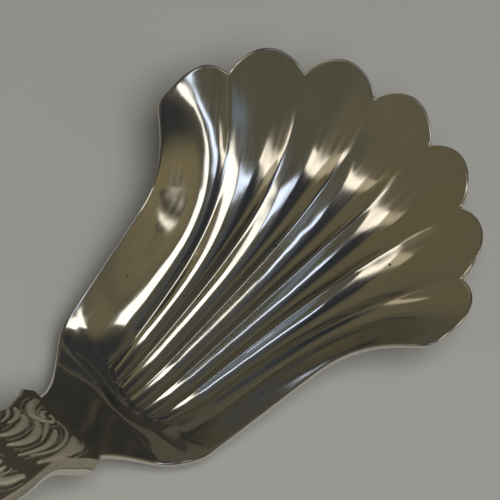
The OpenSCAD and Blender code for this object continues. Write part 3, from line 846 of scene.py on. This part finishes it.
def all_strokes():
    strokes = []
    for repeat in range(SCROLL_TURNS):
        turn = -1 if repeat % 2 else 1
        for height, points in SCROLL:
            strokes.append((height, [(x - repeat * SCROLL_REPEAT, turn * y, half_w)
                                     for x, y, half_w in points]))
    for k in range(PETALS):
        a = math.radians(-PETAL_FAN + 2 * PETAL_FAN * k / (PETALS - 1))
        reach = PETAL_SHORT + PETAL_GAIN * math.cos(a / 2) ** 4
        strokes.append((PETAL_HEIGHT, [
            (HUB_X - r * math.cos(a), r * math.sin(a), half_w)
            for r, half_w in ((2.2, .2), (3.6, .42), (0.55 * reach + 1, .66),
                              (0.85 * reach, .8), (reach, .4))]))
    for side in (1, -1):
        strokes.append((PETAL_HEIGHT, [(x, side * y, half_w) for x, y, half_w in CURL]))
    strokes.append((HUB_HEIGHT, [(HUB_X - HUB_HALF, 0, HUB_BOSS), (HUB_X + HUB_HALF, 0, HUB_BOSS)]))
    return strokes


print("strokes:", len(all_strokes()))

# %% [markdown]
# A smooth line is run through the points of each stroke, and the relief is the highest stroke over
# each point of the crown. A fine line echoes each stroke a little way off, as a chaser sets it,
# but keeps clear of the stroke's ends.

# %% Handle: from strokes to relief
STROKE_FULLNESS, STROKE_FLATNESS, STROKE_HEIGHT = 1.5, 2.0, 0.7
ECHO_GAP, ECHO_HALF, ECHO_HEIGHT = 0.34, 0.15, 0.45
STEPS_PER_SPAN, ECHO_CLEAR = 9, 5


def smooth_line(points):
    """A Catmull-Rom line through a stroke's points: station, y and half width."""
    p = np.array(points, float)
    p = np.vstack([2 * p[0] - p[1], p, 2 * p[-1] - p[-2]])
    t = np.linspace(0, 1, STEPS_PER_SPAN, endpoint=False)[:, None]
    spans = [0.5 * (2 * b + (c - a) * t + (2 * a - 5 * b + 4 * c - d) * t ** 2
                    + (3 * b - a - 3 * c + d) * t ** 3)
             for a, b, c, d in zip(p, p[1:], p[2:], p[3:])]
    return np.vstack(spans + [p[-2:-1]])


def struck_relief(x, y):
    relief = np.zeros(np.broadcast(x, y).shape)
    x, y = np.broadcast_arrays(x, y)
    for height, points in all_strokes():
        line = smooth_line(points) * (1, 1, STROKE_FULLNESS)
        reach = line[:, 2].max() + ECHO_GAP + ECHO_HALF
        low, high = line[:, :2].min(0) - reach, line[:, :2].max(0) + reach
        near = (x > low[0]) & (x < high[0]) & (y > low[1]) & (y < high[1])
        gap = np.stack([x[near], y[near]], -1)[:, None] - line[None, :, :2]
        away = np.sqrt((gap ** 2).sum(-1))
        rounded = 1 - (away / line[:, 2]).min(1).clip(0, 1) ** STROKE_FLATNESS
        nearest = (away - line[:, 2]).argmin(1)
        beside = (nearest > ECHO_CLEAR) & (nearest < len(line) - 1 - ECHO_CLEAR)
        echo = beside * (1 - (((away - line[:, 2]).min(1) - ECHO_GAP) / ECHO_HALF) ** 2)
        highest = np.maximum(rounded, ECHO_HEIGHT * echo)
        relief[near] = np.maximum(relief[near], STROKE_HEIGHT * height * highest)
    return relief


print("points on the first stroke:", len(smooth_line(SCROLL[0][1])))

# %% [markdown]
# The front half takes the relief on its crown. Rows lie closer together near the mouth and at the
# tip. The ground between the leaves is a little lower than the border. How deep each point lies
# under the tops of the leaves is kept as the attribute that the struck silver reads.

# %% Handle: front half
EDGE_UP, FRONT_CROWN = 1.3, 0.45
FRONT_COLUMNS = 128
FINE_END_X, FINE_ROWS, STEM_ROWS, TIP_ROWS = -21, 98, 175, 50
GROUND, GROUND_SHARE = -0.12, 0.9
LEAST_CROWN, RELIEF_BACK = 0.1, 0.2
LEAF_TOP, SIDE_RECESS = 0.3, 0.35

stations = np.concatenate([
    np.linspace(MOUTH_X, FINE_END_X, FINE_ROWS, endpoint=False),
    np.linspace(FINE_END_X, END_X + TERMINAL_BACK, STEM_ROWS, endpoint=False),
    END_X + TERMINAL_BACK * (1 - np.cos(np.linspace(np.pi / 2, 0, TIP_ROWS)))])
crown_share = np.linspace(1, -1, FRONT_COLUMNS)
crown_half = (handle_half(stations) - EDGE_ROUND)[:, None].clip(LEAST_CROWN, None)
raised = struck_relief(stations[:, None], crown_half * crown_share)
on_ground = abs(crown_share) < GROUND_SHARE
relief = (raised + GROUND * on_ground) * lip(stations + RELIEF_BACK)[:, None]
outer = stamping_grid(stations, FRONT_COLUMNS, 1, EDGE_UP, FRONT_CROWN, relief=relief)
inner_face = stamping_grid(stations, FRONT_COLUMNS, 1, EDGE_UP, FRONT_CROWN, inset=WALL)
front = solid_between("handle_front_struck", outer, inner_face, struck)

# Recess paints the ground dark, partly as tarnish and partly as painted shade. The side walls and
# rounded edges take a fixed share of that darkening.
kept = np.full(outer.shape[:2], SIDE_RECESS)
kept[:, EDGE_POINTS:-EDGE_POINTS] = 1 - (raised / LEAF_TOP).clip(0, 1)
values = np.concatenate([kept.ravel(), np.zeros(kept.size)])
front.data.attributes.new("recess", "FLOAT", "POINT").data.foreach_set("value", values)
install(front, "handle_front")

# %% [markdown]
# The back half is plain and polished, with a fuller crown. It uses the same grids without relief
# and with every second row, and is worn flat where its end stands on the table.

# %% Handle: back half
EDGE_DOWN, BACK_CROWN, BACK_COLUMNS = 1.3, 1.0, 44
rows = stations[::2]
under_face = stamping_grid(rows, BACK_COLUMNS, -1, EDGE_DOWN, BACK_CROWN)
under_face[..., 2] = under_face[..., 2].clip(0, None)
back = solid_between(
    "handle_back_plain", under_face,
    stamping_grid(rows, BACK_COLUMNS, -1, EDGE_DOWN, BACK_CROWN, inset=WALL), polished)
install(back, "handle_back")

# %% [markdown]
# ## Solder
# Silver solder shows as a fine line round the seam, a little duller than the silver, because it is
# filed and not polished. The file's marks are drawn coarser than real ones, so that they show.

# %% Solder: the metal
SOLDER = "#cfc9ba"
FILE_MARK = 0.4
soldered, nodes, shader = metal("silver_solder_filed", SOLDER)
place = add(nodes, "ShaderNodeTexCoord").outputs["Object"]
filed = add(nodes, "ShaderNodeTexNoise", {
    "Vector": place, "Scale": 1 / (FILE_MARK * MM), "Detail": 2.0}).outputs[0]
rough = add(nodes, "ShaderNodeMapRange", {
    "Value": filed, "To Min": 0.2, "To Max": 0.45}).outputs[0]
nodes.links.new(rough, shader.inputs["Roughness"])
print("made", soldered.name)

# %% [markdown]
# The line of solder follows a path, so Geometry Nodes sweep a small rectangle along the handle's
# outline. The tree's inputs are the rectangle's width and height and the metal.

# %% Solder: the tree that sweeps the seam
sweep = bpy.data.node_groups.new("seam_sweep", "GeometryNodeTree")
sweep.interface.new_socket("Geometry", in_out="OUTPUT", socket_type="NodeSocketGeometry")
sweep.interface.new_socket("Geometry", in_out="INPUT", socket_type="NodeSocketGeometry")
width, height = (sweep.interface.new_socket(name, in_out="INPUT", socket_type="NodeSocketFloat")
                 for name in ("width", "height"))
solder_socket = sweep.interface.new_socket("metal", in_out="INPUT",
                                           socket_type="NodeSocketMaterial")
entry = add(sweep, "NodeGroupInput")
path = add(sweep, "GeometryNodeMeshToCurve", {0: entry.outputs[0]})
level = add(sweep, "GeometryNodeSetCurveNormal", {0: path.outputs[0]}, mode="Z_UP")
section = add(sweep, "GeometryNodeCurvePrimitiveQuadrilateral", {
    "Width": entry.outputs["width"], "Height": entry.outputs["height"]})
swept = add(sweep, "GeometryNodeCurveToMesh", {
    "Curve": level.outputs[0], "Profile Curve": section.outputs[0], "Fill Caps": True})
real = add(sweep, "GeometryNodeRealizeInstances", {"Geometry": swept.outputs[0]})
tinned = add(sweep, "GeometryNodeSetMaterial", {
    "Geometry": real.outputs[0], "Material": entry.outputs["metal"]})
add(sweep, "NodeGroupOutput", {0: tinned.outputs[0]})
print("seam nodes:", len(sweep.nodes))

# %% Solder: the seam's path and piece
SEAM_WIDTH, SEAM_INSET, LEAST_SEAM = 0.4, 0.24, 0.05
seam_x = stations.clip(END_X + SEAM_INSET, None)
seam_y = (handle_half(stations) - SEAM_INSET).clip(LEAST_SEAM, None)
loop = np.vstack([on_seam(seam_x, seam_y, 0.0), on_seam(seam_x, -seam_y, 0.0)[::-1]])
path_mesh = bpy.data.meshes.new("seam_path")
path_mesh.from_pydata(loop.tolist(), [(i, i + 1) for i in range(len(loop) - 1)], [])
seam = from_tree("seam_solder_line", sweep, {
    width.identifier: SEAM_WIDTH * MM, height.identifier: 2 * SEAM_HALF * MM,
    solder_socket.identifier: soldered}, path_mesh)
install(seam, "seam_solder")

# %% [markdown]
# At the mouth of the handle, solder fills the gap over and under the neck and runs out on it in
# a small hollow fillet, drawn there by the melt.

# %% Solder at the mouth
NECK_HALF, NECK_UP = 5.2, 0.5
SOLDER_IN, FILLET, SOLDER_GAP = 1.6, 0.6, 0.02
FILLET_ROWS, FILLET_COLUMNS = 9, 24
run = np.concatenate([[0, 0.8], np.linspace(1, 1 + FILLET / SOLDER_IN, FILLET_ROWS)])
x_run = (MOUTH_X - SOLDER_IN + run * SOLDER_IN)[:, None]
y_run = np.linspace(NECK_HALF, -NECK_HALF, FILLET_COLUMNS)[None, :]
out = ((x_run - MOUTH_X) / FILLET).clip(0, 1)
tall = NECK_UP + SOLDER_GAP + (EDGE_UP - WALL - NECK_UP - 2 * SOLDER_GAP) * (1 - out) ** 2
for name, node, side in (("solder_over_neck", "solder_over", 1),
                         ("solder_under_neck", "solder_under", -1)):
    far = on_seam(x_run, y_run, side * tall)
    near = on_seam(x_run, y_run, side * NECK_UP)
    install(solid_between(name, far, near, soldered), node)

# %% [markdown]
# ## Inside the handle
# The tang and the pitch round it can't be seen, and their CAD solids have the right shapes. They
# keep them, and get materials of their own: raw silver that was never polished, with a dull and
# uneven skin, and set pitch, which is dark brown and has soft lumps of tone.

# %% Tang and filler
RAW_SILVER = "#b9b5aa"
PITCH_DARK, PITCH_BROWN = "#2a2019", "#463526"
SKIN_SIZE, LUMP_SIZE = 0.8, 2
raw, nodes, shader = metal("silver_unpolished", RAW_SILVER)
place = add(nodes, "ShaderNodeTexCoord").outputs["Object"]
skin = add(nodes, "ShaderNodeTexNoise", {
    "Vector": place, "Scale": 1 / (SKIN_SIZE * MM), "Detail": 3.0}).outputs[0]
rough = add(nodes, "ShaderNodeMapRange", {
    "Value": skin, "To Min": 0.4, "To Max": 0.65}).outputs[0]
nodes.links.new(rough, shader.inputs["Roughness"])

pitch = bpy.data.materials.new("set_pitch")
pitch.use_nodes = True
nodes = pitch.node_tree
shader = nodes.nodes["Principled BSDF"]
shader.inputs["Roughness"].default_value = 0.55
place = add(nodes, "ShaderNodeTexCoord").outputs["Object"]
lumps = add(nodes, "ShaderNodeTexNoise", {
    "Vector": place, "Scale": 1 / (LUMP_SIZE * MM), "Detail": 2.0}).outputs[0]
browns = add(nodes, "ShaderNodeMix", {
    0: lumps, 6: rgba(PITCH_DARK), 7: rgba(PITCH_BROWN)}, data_type="RGBA").outputs[2]
nodes.links.new(browns, shader.inputs["Base Color"])
for node, material in (("tang", raw), ("handle_filler", pitch)):
    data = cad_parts[node].data
    data.materials.clear()
    data.materials.append(material)
    print(node, "keeps its CAD shape, in", material.name)
